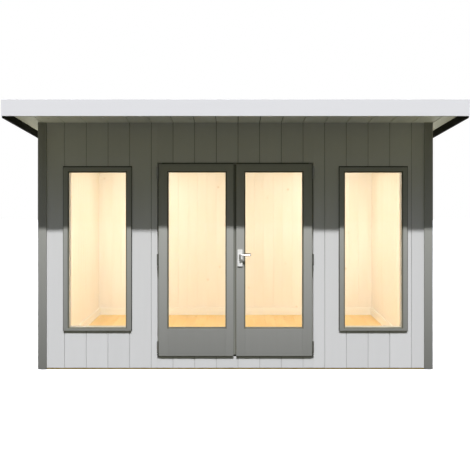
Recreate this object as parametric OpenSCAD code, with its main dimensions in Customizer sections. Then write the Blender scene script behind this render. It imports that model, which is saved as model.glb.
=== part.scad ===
// Garden office pod: one timber room with glazed double doors, two tall fixed windows and a pent roof.
// Millimetres, +Z up, front towards -Y, origin on the ground under the middle of the floor.

/* [Walls] */
// Width over the side cladding
body_w = 3616; // [3450:1:4400]
// Depth from front cladding to back cladding
body_d = 2440; // [2000:1:3200]
// Height of the front wall from the ground to the underside of the roof
wall_h = 2277; // [2150:1:2600]
// Height of the cladding's lower edge above the ground
cladding_base = 15; // [5:1:35]
// Thickness of the outer cladding boards
cladding_t = 18; // [12:1:28]
// Thickness of the insulated timber frame
frame_t = 52; // [40:1:100]
// Thickness of the inner lining boards
lining_t = 12; // [9:1:18]
// Height of the skirting
skirting_h = 95; // [60:1:140]
// Thickness of the skirting
skirting_t = 15; // [10:1:22]

/* [Boards] */
// Cover width of a cladding or ceiling board
board_w = 200; // [120:1:240]
// Distance of a board joint from the middle of the front
board_offset = 24; // [0:1:100]
// Depth of the V joint between cladding or ceiling boards
board_joint = 4; // [2:0.5:6]
// Cover width of a lining board
lining_board_w = 120; // [90:1:150]
// Depth of the V joint between lining boards
lining_joint = 2.5; // [1.5:0.5:4]
// Cover width of a floor board
floor_board_w = 120; // [90:1:150]
// Depth of the V joint between floor boards
floor_joint = 1.5; // [1:0.5:3]

/* [Corner trims] */
// Width of a corner trim's face
trim_w = 80; // [60:1:110]
// How far a corner trim stands proud of the cladding
trim_t = 12; // [8:1:20]
// Height of a corner trim's lower end above the ground
trim_base = 5; // [2:1:15]

/* [Floor] */
// Number of floor bearers
bearer_count = 7; // [5:2:11]
// Width of a floor bearer
bearer_w = 45; // [38:1:75]
// Height of a floor bearer
bearer_h = 55; // [45:1:75]
// Distance from the floor's edge to the outermost bearers
bearer_inset = 10; // [5:1:30]
// Thickness of the floor boards
floor_t = 19; // [16:1:28]

/* [Roof] */
// Fall of the roof from front to back in degrees
roof_pitch = 5; // [3:0.5:7]
// Overhang of the roof in front of the front wall
front_overhang = 562; // [300:1:700]
// Overhang of the roof beyond each side wall
side_overhang = 162; // [100:1:300]
// Overhang of the roof behind the back wall
rear_overhang = 100; // [60:1:200]
// Height of the ceiling boards
roof_board_t = 12; // [10:1:20]
// Height of the insulated roof panel above the ceiling boards
roof_panel_t = 66; // [50:1:100]
// Thickness of the roof covering
covering_t = 4; // [2:0.5:6]
// Width of a strip of the roof covering, along the slope
covering_strip_w = 1000; // [800:1:1200]
// How far each strip of the covering laps over the next lower one
covering_lap = 100; // [75:1:150]
// How far the covering runs out past the rear fascia
covering_drip = 15; // [5:1:30]
// Thickness of the fascia boards
fascia_t = 20; // [15:1:30]
// Height of the front fascia
front_fascia_h = 140; // [120:1:180]
// How far the side fascias hang below the ceiling
side_fascia_drop = 62; // [30:1:90]
// How far the rear fascia hangs below the ceiling
rear_fascia_drop = 40; // [20:1:60]
// How far the side fascias rise above the roof covering
fascia_upstand = 9; // [4:1:20]
// Width of the bevel on the fascia's front edges
fascia_bevel = 4; // [1:0.5:8]

/* [Windows] */
// Distance from the door leaf's outer edge to the window frame
window_gap = 239; // [120:1:260]
// Distance from the corner trim's outer face to the window frame
window_corner_gap = 227; // [150:1:300]
// Height of a window's lower edge above the ground
window_base = 354; // [250:1:500]
// Height of a window over its frame
window_h = 1523; // [1200:1:1560]
// Visible width of a window's upright frame members
window_stile = 60; // [45:1:75]
// Visible height of a window's top frame member
window_top_rail = 62; // [45:1:75]
// Visible height of a window's bottom frame member
window_bottom_rail = 35; // [30:1:60]
// How far the window frame stands proud of the cladding
window_proud = 16; // [10:1:25]
// How far the window frame's face laps over the cladding
window_lap = 14; // [8:1:18]

/* [Doors] */
// Distance from the middle of the doorway to a leaf's outer edge
leaf_half = 711; // [650:1:730]
// Left edge of the gap between the leaves, from the middle
meeting_left = 18; // [14:1:30]
// Right edge of the gap between the leaves, from the middle
meeting_right = 8; // [6:1:20]
// Height of the leaves' lower edge above the ground
leaf_base = 127; // [120:1:150]
// Height of the leaves
leaf_h = 1773; // [1700:1:1820]
// Thickness of the leaves
leaf_t = 44; // [38:1:50]
// How far the leaves stand proud of the cladding
leaf_proud = 18; // [12:1:24]
// Width of a leaf's outer stile
hinge_stile = 95; // [80:1:115]
// Distance from the middle of the doorway to the glass
meeting_stile = 92; // [85:1:120]
// Height of a leaf's top rail
leaf_top_rail = 84; // [70:1:110]
// Height of a leaf's bottom rail
leaf_bottom_rail = 262; // [180:1:300]
// Width of the meeting strip on the left leaf
meeting_strip_w = 19; // [15:1:19]
// Depth of the meeting strip behind the leaves' faces
meeting_strip_recess = 12; // [6:1:16]
// Distance of the meeting strip's ends from the leaf's top and bottom
meeting_strip_inset = 12; // [5:1:30]
// Thickness of the meeting strip
meeting_strip_t = 24; // [15:1:26]
// Width of a door jamb and height of the door head
jamb_w = 38; // [30:1:45]
// How far the threshold rises behind the leaf's lower edge
threshold_lap = 10; // [5:1:25]
// Thickness of the threshold board
threshold_t = 30; // [20:1:40]

/* [Glazing] */
// Thickness of a sealed glass unit
glass_t = 14; // [10:1:18]
// Width of a glazing bead, and how far the glass sits behind it
bead_w = 12; // [8:1:12]
// Thickness of a glazing bead
bead_t = 6; // [4:1:8]
// Depth of a glazing bead behind the frame's face
bead_recess = 4; // [2:1:6]
// Thickness of a bead at its sight edge
bead_edge = 2.5; // [1.5:0.5:3.5]

/* [Hinges] */
// Height of a hinge
hinge_h = 106; // [80:1:120]
// Distance from the leaf's top or bottom to the middle of the outer hinges
hinge_inset = 82; // [70:1:150]
// Radius of a hinge knuckle
knuckle_r = 7; // [6.5:0.5:8]
// Radius of a hinge pin
hinge_pin_r = 4; // [3:0.5:4.5]
// Thickness of a hinge plate
hinge_plate_t = 2.5; // [2:0.5:3]
// Depth of a hinge plate behind the pin
hinge_plate_d = 40; // [30:1:42]

/* [Handle] */
// Width of a handle plate
handle_plate_w = 45; // [38:1:48]
// Height of a handle plate
handle_plate_h = 155; // [130:1:200]
// Radius of a handle plate's corners
handle_corner_r = 5; // [2:0.5:15]
// Thickness of a handle plate
handle_plate_t = 8; // [6:1:10]
// Distance from the middle of the doorway to the handle plate's centre line
handle_x = 43; // [38:1:55]
// Height of the handle plate's lower end above the ground
handle_plate_base = 952; // [900:1:1000]
// Height of the lever's axis above the plate's lower end
lever_rise = 106; // [95:1:115]
// Height of the key cylinder's centre above the plate's lower end
cylinder_rise = 48; // [35:1:55]
// Radius of the key cylinder
cylinder_r = 8.5; // [7:0.5:10]
// How far the key cylinder stands out of the plate
cylinder_proud = 5; // [2:1:8]
// Radius of the lever's neck
lever_neck_r = 9; // [8:0.5:10]
// Radius of the lever's arm
lever_arm_r = 8; // [6:0.5:8]
// Length of the lever's arm from its axis
lever_l = 100; // [80:1:130]
// Distance from the plate to the middle of the lever's arm
lever_standoff = 32; // [30:1:55]
// Length of the arm's end that turns back towards the door
lever_return = 22; // [10:1:25]

/* [Clearances] */
// Gap round each door leaf
leaf_gap = 8; // [6:1:10]
// Gap between a closed leaf and its stops
stop_gap = 5; // [5:1:8]
// Running clearance between a pin and its hole
running_gap = 0.05; // [0.02:0.01:0.1]
// End gap between the two halves of a hinge
knuckle_gap = 0.5; // [0.3:0.1:0.9]
// Gap round the lever's spindle inside the leaf
spindle_gap = 3; // [2:0.5:5]
// Open joint between the two boards of a corner trim
trim_joint = 0.2; // [0.2:0.1:0.8]
// Gap between the walls' sloping tops and the ceiling boards
ceiling_gap = 0.1; // [0.1:0.1:0.5]
// Gap between the roof panel and the covering over it
covering_gap = 0.1; // [0.1:0.1:0.5]

/* [Hidden] */
$fn = 48;
// Reach of a cutting shape past the face that it cuts
cut = 1;

LEFT = -1;
RIGHT = 1;

grey_white = [0.86, 0.86, 0.88];
pale_grey = [0.80, 0.80, 0.80];
grey_green = [0.53, 0.54, 0.51];
pine = [0.95, 0.84, 0.64];
floor_pine = [0.88, 0.68, 0.42];
bearer_brown = [0.45, 0.37, 0.24];
clear_glass = [0.80, 0.88, 0.90, 0.35];
bead_grey = [0.30, 0.31, 0.29];
steel = [0.70, 0.71, 0.72];
bright_metal = [0.88, 0.88, 0.89];
roof_grey = [0.28, 0.29, 0.30];

// Walls in plan
half_w = body_w / 2;
front_y = -body_d / 2;
back_y = body_d / 2;
wall_t = cladding_t + frame_t;
room_half_w = half_w - wall_t - lining_t;
room_front_y = front_y + wall_t + lining_t;
room_back_y = back_y - wall_t - lining_t;
floor_top = bearer_h + floor_t;
floor_half_w = half_w - cladding_t;
floor_half_d = back_y - cladding_t;

// Roof
roof_half_w = half_w + side_overhang;
roof_front_y = front_y - front_overhang;
roof_rear_y = back_y + rear_overhang;
roof_deck_h = roof_board_t + roof_panel_t;
side_fascia_top = roof_deck_h + covering_t + fascia_upstand;

// Doorway
leaf_front_y = front_y - leaf_proud;
leaf_back_y = leaf_front_y + leaf_t;
leaf_top = leaf_base + leaf_h;
opening_half = leaf_half + leaf_gap;
opening_top = leaf_top + leaf_gap;
stop_y = leaf_back_y + stop_gap;
stop_half = opening_half - jamb_w;
threshold_top = leaf_base + threshold_lap;
threshold_base = threshold_top - threshold_t;
door_glass_base = leaf_base + leaf_bottom_rail;
door_glass_top = leaf_top - leaf_top_rail;
door_glass_outer = leaf_half - hinge_stile;

// Windows
window_x0 = leaf_half + window_gap;
window_x1 = half_w + trim_t - window_corner_gap;
window_top = window_base + window_h;
window_face_y = front_y - window_proud;

// Hinges
pivot_x = leaf_half + leaf_gap / 2;
pivot_y = leaf_front_y - knuckle_r;
hinge_plate_back_y = pivot_y + hinge_plate_d;
hinge_mid_z = [leaf_base + hinge_inset, leaf_base + leaf_h / 2, leaf_top - hinge_inset];

// Handle
lever_z = handle_plate_base + lever_rise;
cylinder_z = handle_plate_base + cylinder_rise;

// Height of the ceiling's underside above the ground at a given depth
function ceiling_z(y) = wall_h - (y - front_y) * tan(roof_pitch);

// Height of the roof covering's underside above the ground at a given depth
function covering_z(y) = ceiling_z(y) + roof_deck_h + covering_gap;

// Outline, in depth and height, of a layer of the sloping roof
function roof_layer(y0, y1, low, high) = [
    [y0, ceiling_z(y0) + low], [y1, ceiling_z(y1) + low],
    [y1, ceiling_z(y1) + high], [y0, ceiling_z(y0) + high]
];

// Where the joints of boards laid at a pitch from a first joint fall between two edges
function joint_places(low, high, first, pitch) = [
    for (n = [ceil((low - first) / pitch) : floor((high - first) / pitch)]) first + n * pitch
];

// Box between two opposite corners
module span_box(low, high) {
    translate(low) cube(high - low);
}

// Outline in depth and height, run along the width from x0 to x1
module run_across(x0, x1, outline) {
    translate([x0, 0, 0]) rotate([90, 0, 90]) linear_extrude(x1 - x0) polygon(outline);
}

// Everything below the sloping ceiling and above a given height
module below_ceiling(base) {
    run_across(-roof_half_w, roof_half_w, [
        [roof_front_y, base], [roof_rear_y, base],
        [roof_rear_y, ceiling_z(roof_rear_y)], [roof_front_y, ceiling_z(roof_front_y)]
    ]);
}

// Copy a right-hand piece to the given side
module on_side(side) {
    mirror([side == LEFT ? 1 : 0, 0, 0]) children();
}

// V joint between upright boards, cut from a face at the origin into +Y
module upright_joint(depth) {
    linear_extrude(wall_h + cut) polygon([[-depth - cut, -cut], [depth + cut, -cut], [0, depth]]);
}

// V joints of the outer boards in the front or back face
module cladding_joints(face_y, turn) {
    for (x = joint_places(-half_w, half_w, board_offset, board_w))
        translate([x, face_y, 0]) rotate([0, 0, turn]) upright_joint(board_joint);
}

// V joints of the boards in a lining that runs along the width
module lining_joints(face_y, turn) {
    for (x = joint_places(-room_half_w, room_half_w, 0, lining_board_w))
        translate([x, face_y, 0]) rotate([0, 0, turn]) upright_joint(lining_joint);
}

// Floor

module floor_bearers() {
    reach = floor_half_d - bearer_inset - bearer_w / 2;
    pitch = 2 * reach / (bearer_count - 1);
    color(bearer_brown)
        for (i = [0 : bearer_count - 1])
            translate([0, -reach + i * pitch, bearer_h / 2])
                cube([2 * (floor_half_w - bearer_inset), bearer_w, bearer_h], center = true);
}

module floor_deck() {
    color(floor_pine)
        difference() {
            span_box([-floor_half_w, -floor_half_d, bearer_h], [floor_half_w, floor_half_d, floor_top]);
            for (x = joint_places(-floor_half_w, floor_half_w, 0, floor_board_w))
                translate([x, floor_half_d + cut, floor_top])
                    rotate([90, 0, 0])
                        linear_extrude(2 * (floor_half_d + cut))
                            polygon([[-floor_joint - cut, cut], [floor_joint + cut, cut], [0, -floor_joint]]);
        }
}

// Walls: the cladding hangs down past the floor's edge, the frame stands on the floor

// Outline of a front or back wall, from its outer face to its frame's inner face
function wall_section(outer_y, inward) = [
    [outer_y, cladding_base],
    [outer_y + inward * cladding_t, cladding_base],
    [outer_y + inward * cladding_t, floor_top],
    [outer_y + inward * wall_t, floor_top],
    [outer_y + inward * wall_t, ceiling_z(outer_y + inward * wall_t)],
    [outer_y, ceiling_z(outer_y)]
];

module window_hole() {
    span_box([window_x0 + window_lap, front_y - cut, window_base + window_lap],
             [window_x1 - window_lap, room_front_y + cut, window_top - window_lap]);
}

module front_wall_side(side) {
    color(pale_grey)
        difference() {
            on_side(side)
                difference() {
                    run_across(opening_half, half_w, wall_section(front_y, 1));
                    window_hole();
                }
            cladding_joints(front_y, 0);
        }
}

module front_wall_over_door() {
    inner_y = front_y + wall_t;
    color(pale_grey)
        difference() {
            run_across(-opening_half, opening_half, [
                [front_y, opening_top], [inner_y, opening_top],
                [inner_y, ceiling_z(inner_y)], [front_y, ceiling_z(front_y)]
            ]);
            cladding_joints(front_y, 0);
        }
}

module front_wall_under_door() {
    clad_y = front_y + cladding_t;
    color(pale_grey) {
        difference() {
            span_box([-opening_half, front_y, cladding_base], [opening_half, clad_y, leaf_base - leaf_gap]);
            cladding_joints(front_y, 0);
        }
        span_box([-stop_half, clad_y, floor_top], [stop_half, front_y + wall_t, threshold_base]);
    }
}

// Outline of a side wall, between the front and back walls
function side_wall_outline(base, y0, y1) = [
    [y0, base], [y1, base], [y1, ceiling_z(y1)], [y0, ceiling_z(y0)]
];

module side_wall(side) {
    y0 = front_y + wall_t;
    y1 = back_y - wall_t;
    color(pale_grey)
        on_side(side) {
            difference() {
                run_across(floor_half_w, half_w, side_wall_outline(cladding_base, y0, y1));
                for (y = joint_places(y0, y1, 0, board_w))
                    translate([half_w, y, 0]) rotate([0, 0, 90]) upright_joint(board_joint);
            }
            run_across(half_w - wall_t, floor_half_w, side_wall_outline(floor_top, y0, y1));
        }
}

module back_wall() {
    color(pale_grey)
        difference() {
            run_across(-half_w, half_w, wall_section(back_y, -1));
            cladding_joints(back_y, 180);
        }
}

module front_lining() {
    inner_y = front_y + wall_t;
    color(pine)
        difference() {
            run_across(-half_w + wall_t, half_w - wall_t,
                       side_wall_outline(floor_top, inner_y, room_front_y));
            for (side = [LEFT, RIGHT]) on_side(side) window_hole();
            span_box([-opening_half, inner_y - cut, floor_top - cut],
                     [opening_half, room_front_y + cut, opening_top]);
            lining_joints(room_front_y, 180);
        }
}

module back_lining() {
    color(pine)
        difference() {
            run_across(-half_w + wall_t, half_w - wall_t,
                       side_wall_outline(floor_top, room_back_y, back_y - wall_t));
            lining_joints(room_back_y, 0);
        }
}

module side_lining(side) {
    color(pine)
        on_side(side)
            difference() {
                run_across(room_half_w, half_w - wall_t,
                           side_wall_outline(floor_top, room_front_y, room_back_y));
                for (y = joint_places(room_front_y, room_back_y, 0, lining_board_w))
                    translate([room_half_w, y, 0]) rotate([0, 0, -90]) upright_joint(lining_joint);
            }
}

module skirting() {
    color(pine)
        difference() {
            span_box([-room_half_w, room_front_y, floor_top],
                     [room_half_w, room_back_y, floor_top + skirting_h]);
            span_box([-room_half_w + skirting_t, room_front_y + skirting_t, floor_top - cut],
                     [room_half_w - skirting_t, room_back_y - skirting_t, floor_top + skirting_h + cut]);
            span_box([-opening_half, room_front_y - cut, floor_top - cut],
                     [opening_half, room_front_y + skirting_t + cut, floor_top + skirting_h + cut]);
        }
}

// Corner trims: a face board, and a side board that butts against its back, over the ends of the cladding
module corner_trim(side, wall_y, outward) {
    face_y = wall_y + outward * trim_t;
    butt_y = wall_y - outward * trim_joint;
    lap_y = face_y - outward * trim_w;
    face_x = half_w + trim_t;
    on_side(side) {
        trim_board([[face_x - trim_w, face_y], [face_x, wall_y]]);
        trim_board([[half_w, butt_y], [face_x, lap_y]]);
    }
}

// One upright trim board between two corners of its plan, cut to the roof's slope
module trim_board(corners) {
    low = [corners[0][0], min(corners[0][1], corners[1][1]), trim_base];
    high = [corners[1][0], max(corners[0][1], corners[1][1]), wall_h];
    intersection() {
        span_box(low, high);
        below_ceiling(0);
    }
}

module front_corner_trims() {
    color(grey_green) for (side = [LEFT, RIGHT]) corner_trim(side, front_y, -1);
}

module rear_corner_trims() {
    color(grey_green) for (side = [LEFT, RIGHT]) corner_trim(side, back_y, 1);
}

// Glazing: a rebate takes the sealed unit from outside, and mitred beads hold it

// Rebate for glass and beads in a frame whose outer face is at face_y
module glass_rebate(low, high, face_y) {
    span_box([low[0] - bead_w, face_y - cut, low[1] - bead_w],
             [high[0] + bead_w, face_y + bead_recess + bead_t + glass_t, high[1] + bead_w]);
}

module glass_unit(low, high, face_y) {
    glass_y = face_y + bead_recess + bead_t;
    span_box([low[0] - bead_w, glass_y, low[1] - bead_w],
             [high[0] + bead_w, glass_y + glass_t, high[1] + bead_w]);
}

// One length of bead along the bottom of an opening, mitred at both ends
module bead_length(length) {
    intersection() {
        rotate([90, 0, 90])
            translate([0, 0, -length / 2 - bead_w])
                linear_extrude(length + 2 * bead_w)
                    polygon([[0, -bead_w], [bead_t, -bead_w], [bead_t, 0], [bead_t - bead_edge, 0]]);
        rotate([-90, 0, 0])
            linear_extrude(bead_t)
                polygon([
                    [-length / 2 - bead_w, bead_w], [length / 2 + bead_w, bead_w],
                    [length / 2, 0], [-length / 2, 0]
                ]);
    }
}

// Beads all round an opening between two corners in width and height
module bead_ring(low, high, face_y) {
    size = high - low;
    mid = (low + high) / 2;
    translate([mid[0], face_y + bead_recess, mid[1]])
        for (turn = [0 : 3]) {
            across = turn % 2 == 0 ? size[0] : size[1];
            along = turn % 2 == 0 ? size[1] : size[0];
            rotate([0, 90 * turn, 0]) translate([0, 0, -along / 2]) bead_length(across);
        }
}

// Windows

window_sight_low = [window_x0 + window_stile, window_base + window_bottom_rail];
window_sight_high = [window_x1 - window_stile, window_top - window_top_rail];

module window_frame(side) {
    color(grey_green)
        on_side(side)
            difference() {
                union() {
                    span_box([window_x0, window_face_y, window_base], [window_x1, front_y, window_top]);
                    span_box([window_x0 + window_lap, front_y, window_base + window_lap],
                             [window_x1 - window_lap, room_front_y, window_top - window_lap]);
                }
                span_box([window_sight_low[0], window_face_y - cut, window_sight_low[1]],
                         [window_sight_high[0], room_front_y + cut, window_sight_high[1]]);
                glass_rebate(window_sight_low, window_sight_high, window_face_y);
            }
}

module window_glass(side) {
    color(clear_glass) on_side(side) glass_unit(window_sight_low, window_sight_high, window_face_y);
}

module window_beads(side) {
    color(bead_grey) on_side(side) bead_ring(window_sight_low, window_sight_high, window_face_y);
}

// Door frame behind the leaves, which forms their stops

module door_jamb(side) {
    color(grey_green)
        on_side(side)
            span_box([stop_half, stop_y, floor_top], [opening_half, room_front_y, opening_top]);
}

module door_head() {
    color(grey_green)
        span_box([-stop_half, stop_y, opening_top - jamb_w], [stop_half, room_front_y, opening_top]);
}

module door_threshold() {
    color(grey_green)
        span_box([-stop_half, stop_y, threshold_base], [stop_half, room_front_y, threshold_top]);
}

// Door leaves, each given as its outer edge at the hinges and its edge at the middle

function leaf_meeting(side) = side == LEFT ? meeting_left : meeting_right;

door_sight_low = [meeting_stile, door_glass_base];
door_sight_high = [door_glass_outer, door_glass_top];

module door_leaf(side) {
    color(grey_green)
        on_side(side)
            difference() {
                span_box([leaf_meeting(side), leaf_front_y, leaf_base], [leaf_half, leaf_back_y, leaf_top]);
                span_box([door_sight_low[0], leaf_front_y - cut, door_sight_low[1]],
                         [door_sight_high[0], leaf_back_y + cut, door_sight_high[1]]);
                glass_rebate(door_sight_low, door_sight_high, leaf_front_y);
                if (side == RIGHT) lock_holes();
            }
}

module door_glass(side) {
    color(clear_glass) on_side(side) glass_unit(door_sight_low, door_sight_high, leaf_front_y);
}

module door_beads(side) {
    color(bead_grey) on_side(side) bead_ring(door_sight_low, door_sight_high, leaf_front_y);
}

module door_meeting_strip() {
    strip_y = leaf_front_y + meeting_strip_recess;
    color(grey_green)
        span_box([-meeting_left, strip_y, leaf_base + meeting_strip_inset],
                 [-meeting_left + meeting_strip_w, strip_y + meeting_strip_t,
                  leaf_top - meeting_strip_inset]);
}

// Lift-off hinges: the frame half carries the pin, the leaf half drops over it

module frame_hinge_half(mid_z) {
    low = mid_z - hinge_h / 2;
    high = mid_z + hinge_h / 2;
    translate([pivot_x, pivot_y, low]) {
        cylinder(r = knuckle_r, h = hinge_h / 2);
        cylinder(r = hinge_pin_r, h = hinge_h - hinge_pin_r);
    }
    span_box([opening_half - hinge_plate_t, pivot_y, low], [opening_half, hinge_plate_back_y, mid_z]);
    span_box([opening_half - hinge_plate_t, leaf_front_y + hinge_plate_t, mid_z],
             [opening_half, hinge_plate_back_y, high]);
}

module leaf_hinge_half(mid_z) {
    low = mid_z - hinge_h / 2;
    high = mid_z + hinge_h / 2;
    knuckle_low = mid_z + knuckle_gap;
    difference() {
        union() {
            translate([pivot_x, pivot_y, knuckle_low]) cylinder(r = knuckle_r, h = high - knuckle_low);
            span_box([leaf_half, pivot_y, knuckle_low],
                     [leaf_half + hinge_plate_t, hinge_plate_back_y, high]);
        }
        translate([pivot_x, pivot_y, mid_z]) cylinder(r = hinge_pin_r + running_gap, h = hinge_h);
    }
    span_box([leaf_half, leaf_front_y + hinge_plate_t, low],
             [leaf_half + hinge_plate_t, hinge_plate_back_y, knuckle_low]);
}

module frame_hinges(side) {
    color(steel) on_side(side) for (z = hinge_mid_z) frame_hinge_half(z);
}

module leaf_hinges(side) {
    color(steel) on_side(side) for (z = hinge_mid_z) leaf_hinge_half(z);
}

// Lever handle on the right leaf

// Round bar along the depth between two faces
module depth_bar(x, z, r, y0, y1) {
    translate([x, y1, z]) rotate([90, 0, 0]) cylinder(r = r, h = y1 - y0);
}

module lock_holes() {
    depth_bar(handle_x, lever_z, lever_neck_r + spindle_gap, leaf_front_y - cut, leaf_back_y + cut);
    depth_bar(handle_x, cylinder_z, cylinder_r, leaf_front_y - cut, leaf_back_y + cut);
}

// Plate with rounded corners, lying on a leaf's face from y0 to y1
module handle_plate(y0, y1) {
    low = [handle_x - handle_plate_w / 2, handle_plate_base];
    high = [handle_x + handle_plate_w / 2, handle_plate_base + handle_plate_h];
    r = handle_corner_r;
    difference() {
        union() {
            span_box([low[0] + r, y0, low[1]], [high[0] - r, y1, high[1]]);
            span_box([low[0], y0, low[1] + r], [high[0], y1, high[1] - r]);
            for (x = [low[0] + r, high[0] - r], z = [low[1] + r, high[1] - r]) depth_bar(x, z, r, y0, y1);
        }
        depth_bar(handle_x, lever_z, lever_neck_r + running_gap, y0 - cut, y1 + cut);
    }
}

module handle_plates() {
    color(bright_metal) {
        handle_plate(leaf_front_y - handle_plate_t, leaf_front_y);
        handle_plate(leaf_back_y, leaf_back_y + handle_plate_t);
        depth_bar(handle_x, cylinder_z, cylinder_r, leaf_front_y - handle_plate_t - cylinder_proud,
                  leaf_back_y + handle_plate_t + cylinder_proud);
    }
}

// Arm of the lever at depth arm_y, with its end turned back towards the door
module lever_arm(arm_y, towards_door) {
    arm_end = handle_x + lever_l - lever_arm_r;
    translate([handle_x, arm_y, lever_z])
        rotate([0, 90, 0]) cylinder(r = lever_arm_r, h = arm_end - handle_x);
    translate([handle_x, arm_y, lever_z]) sphere(r = lever_neck_r);
    translate([arm_end, arm_y, lever_z]) {
        sphere(r = lever_arm_r);
        rotate([-90 * towards_door, 0, 0]) cylinder(r = lever_arm_r, h = lever_return);
    }
}

module lever_handle() {
    outer_y = leaf_front_y - handle_plate_t - lever_standoff;
    inner_y = leaf_back_y + handle_plate_t + lever_standoff;
    color(bright_metal) {
        depth_bar(handle_x, lever_z, lever_neck_r, outer_y, inner_y);
        lever_arm(outer_y, 1);
        lever_arm(inner_y, -1);
    }
}

// Roof

module ceiling_boards() {
    y0 = roof_front_y + fascia_t;
    y1 = roof_rear_y - fascia_t;
    inner_half_w = roof_half_w - fascia_t;
    color(pine)
        difference() {
            run_across(-inner_half_w, inner_half_w, roof_layer(y0, y1, ceiling_gap, roof_board_t));
            for (x = joint_places(-inner_half_w, inner_half_w, board_offset, board_w))
                translate([x, roof_front_y, ceiling_z(roof_front_y) + ceiling_gap])
                    rotate([-roof_pitch - 90, 0, 0])
                        linear_extrude(roof_rear_y - roof_front_y + 2 * fascia_t)
                            polygon([[-board_joint - cut, cut], [board_joint + cut, cut], [0, -board_joint]]);
        }
}

module roof_panel() {
    color(pine)
        run_across(-roof_half_w + fascia_t, roof_half_w - fascia_t,
                   roof_layer(roof_front_y + fascia_t, roof_rear_y - fascia_t, roof_board_t, roof_deck_h));
}

// Covering: strips across the slope, the lower edge of each lapped over the next lower one
module roof_covering() {
    y0 = roof_front_y + fascia_t;
    y1 = roof_rear_y + covering_drip;
    step = covering_strip_w - covering_lap;
    strip_count = ceil((y1 - y0 - covering_lap) / step);
    color(roof_grey)
        for (i = [0 : strip_count - 1]) {
            rear = y1 - i * step;
            front = max(y0, rear - covering_strip_w);
            lift = i == 0 ? 0 : covering_t;
            run_across(-roof_half_w + fascia_t, roof_half_w - fascia_t, [
                [front, covering_z(front)], [rear, covering_z(rear)],
                [rear, covering_z(rear) + lift + covering_t], [front, covering_z(front) + covering_t]
            ]);
        }
}

module front_fascia() {
    low = wall_h;
    high = wall_h + front_fascia_h;
    back = roof_front_y + fascia_t;
    color(grey_white)
        run_across(-roof_half_w, roof_half_w, [
            [back, low], [back, high],
            [roof_front_y + fascia_bevel, high], [roof_front_y, high - fascia_bevel],
            [roof_front_y, low + fascia_bevel], [roof_front_y + fascia_bevel, low]
        ]);
}

module side_fascia(side) {
    color(grey_white)
        on_side(side)
            run_across(roof_half_w - fascia_t, roof_half_w,
                       roof_layer(roof_front_y + fascia_t, roof_rear_y, -side_fascia_drop, side_fascia_top));
}

module rear_fascia() {
    color(grey_white)
        run_across(-roof_half_w + fascia_t, roof_half_w - fascia_t,
                   roof_layer(roof_rear_y - fascia_t, roof_rear_y, -rear_fascia_drop, roof_deck_h));
}

floor_bearers();
floor_deck();
front_wall_side(LEFT);  // front_wall_left
front_wall_side(RIGHT);  // front_wall_right
front_wall_over_door();
front_wall_under_door();
side_wall(LEFT);  // left_wall
side_wall(RIGHT);  // right_wall
back_wall();
front_lining();
side_lining(LEFT);  // left_lining
side_lining(RIGHT);  // right_lining
back_lining();
skirting();
front_corner_trims();
rear_corner_trims();
window_frame(LEFT);  // left_window_frame
window_frame(RIGHT);  // right_window_frame
window_glass(LEFT);  // left_window_glass
window_glass(RIGHT);  // right_window_glass
window_beads(LEFT);  // left_window_beads
window_beads(RIGHT);  // right_window_beads
door_jamb(LEFT);  // left_door_jamb
door_jamb(RIGHT);  // right_door_jamb
door_head();
door_threshold();
door_leaf(LEFT);  // left_door_leaf
door_glass(LEFT);  // left_door_glass
door_beads(LEFT);  // left_door_beads
door_meeting_strip();
leaf_hinges(LEFT);  // left_leaf_hinges
door_leaf(RIGHT);  // right_door_leaf
door_glass(RIGHT);  // right_door_glass
door_beads(RIGHT);  // right_door_beads
leaf_hinges(RIGHT);  // right_leaf_hinges
frame_hinges(LEFT);  // left_frame_hinges
frame_hinges(RIGHT);  // right_frame_hinges
handle_plates();
lever_handle();
ceiling_boards();
roof_panel();
roof_covering();
front_fascia();
side_fascia(LEFT);  // left_fascia
side_fascia(RIGHT);  // right_fascia
rear_fascia();
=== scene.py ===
"""Boards, joinery, finishes, lights and camera for the garden office pod.

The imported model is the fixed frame. Each class below is one sub-assembly: it reads its place from the
frame, models its pieces with Blender's operators and dresses them with its finishes.
"""

from __future__ import annotations

import logging
import math
import random
from dataclasses import dataclass
from enum import Enum
from functools import cache
from typing import Callable, Sequence

import bpy
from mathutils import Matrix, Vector

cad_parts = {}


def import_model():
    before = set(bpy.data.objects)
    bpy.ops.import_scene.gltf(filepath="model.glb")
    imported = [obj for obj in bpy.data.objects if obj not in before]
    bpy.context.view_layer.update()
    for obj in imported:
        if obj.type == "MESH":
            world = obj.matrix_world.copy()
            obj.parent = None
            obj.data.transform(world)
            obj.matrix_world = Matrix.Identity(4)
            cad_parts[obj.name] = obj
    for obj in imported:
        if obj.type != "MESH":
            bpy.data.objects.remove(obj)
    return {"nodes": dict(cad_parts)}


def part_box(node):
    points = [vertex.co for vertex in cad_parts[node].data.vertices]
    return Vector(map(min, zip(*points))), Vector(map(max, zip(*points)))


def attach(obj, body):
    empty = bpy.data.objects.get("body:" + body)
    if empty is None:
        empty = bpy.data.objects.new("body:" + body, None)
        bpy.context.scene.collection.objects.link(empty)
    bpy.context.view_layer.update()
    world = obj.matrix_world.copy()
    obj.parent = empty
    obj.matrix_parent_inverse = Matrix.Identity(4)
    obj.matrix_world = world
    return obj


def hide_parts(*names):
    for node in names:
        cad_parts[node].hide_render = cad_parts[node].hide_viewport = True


LOG = logging.getLogger("pod")
TONE_SEED = 20
TONE_NAME = "board_tone"
EAVES_NAME = "ceiling_boarding"
JOINT_TONE = -1.0
WELD_GAP = 0.00002
FLAT_ANGLE = math.radians(1.0)
SHARP_ANGLE = math.radians(30.0)
CUT_REACH = 0.02
HOLE_LAP = Vector((0.014, -CUT_REACH, 0.014))
DOORWAY_LOW = Vector((0, CUT_REACH, CUT_REACH))
DOORWAY_HIGH = Vector((0, CUT_REACH, 0))
BEAD_INSET = Vector((0.012, 0, 0.012))
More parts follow.
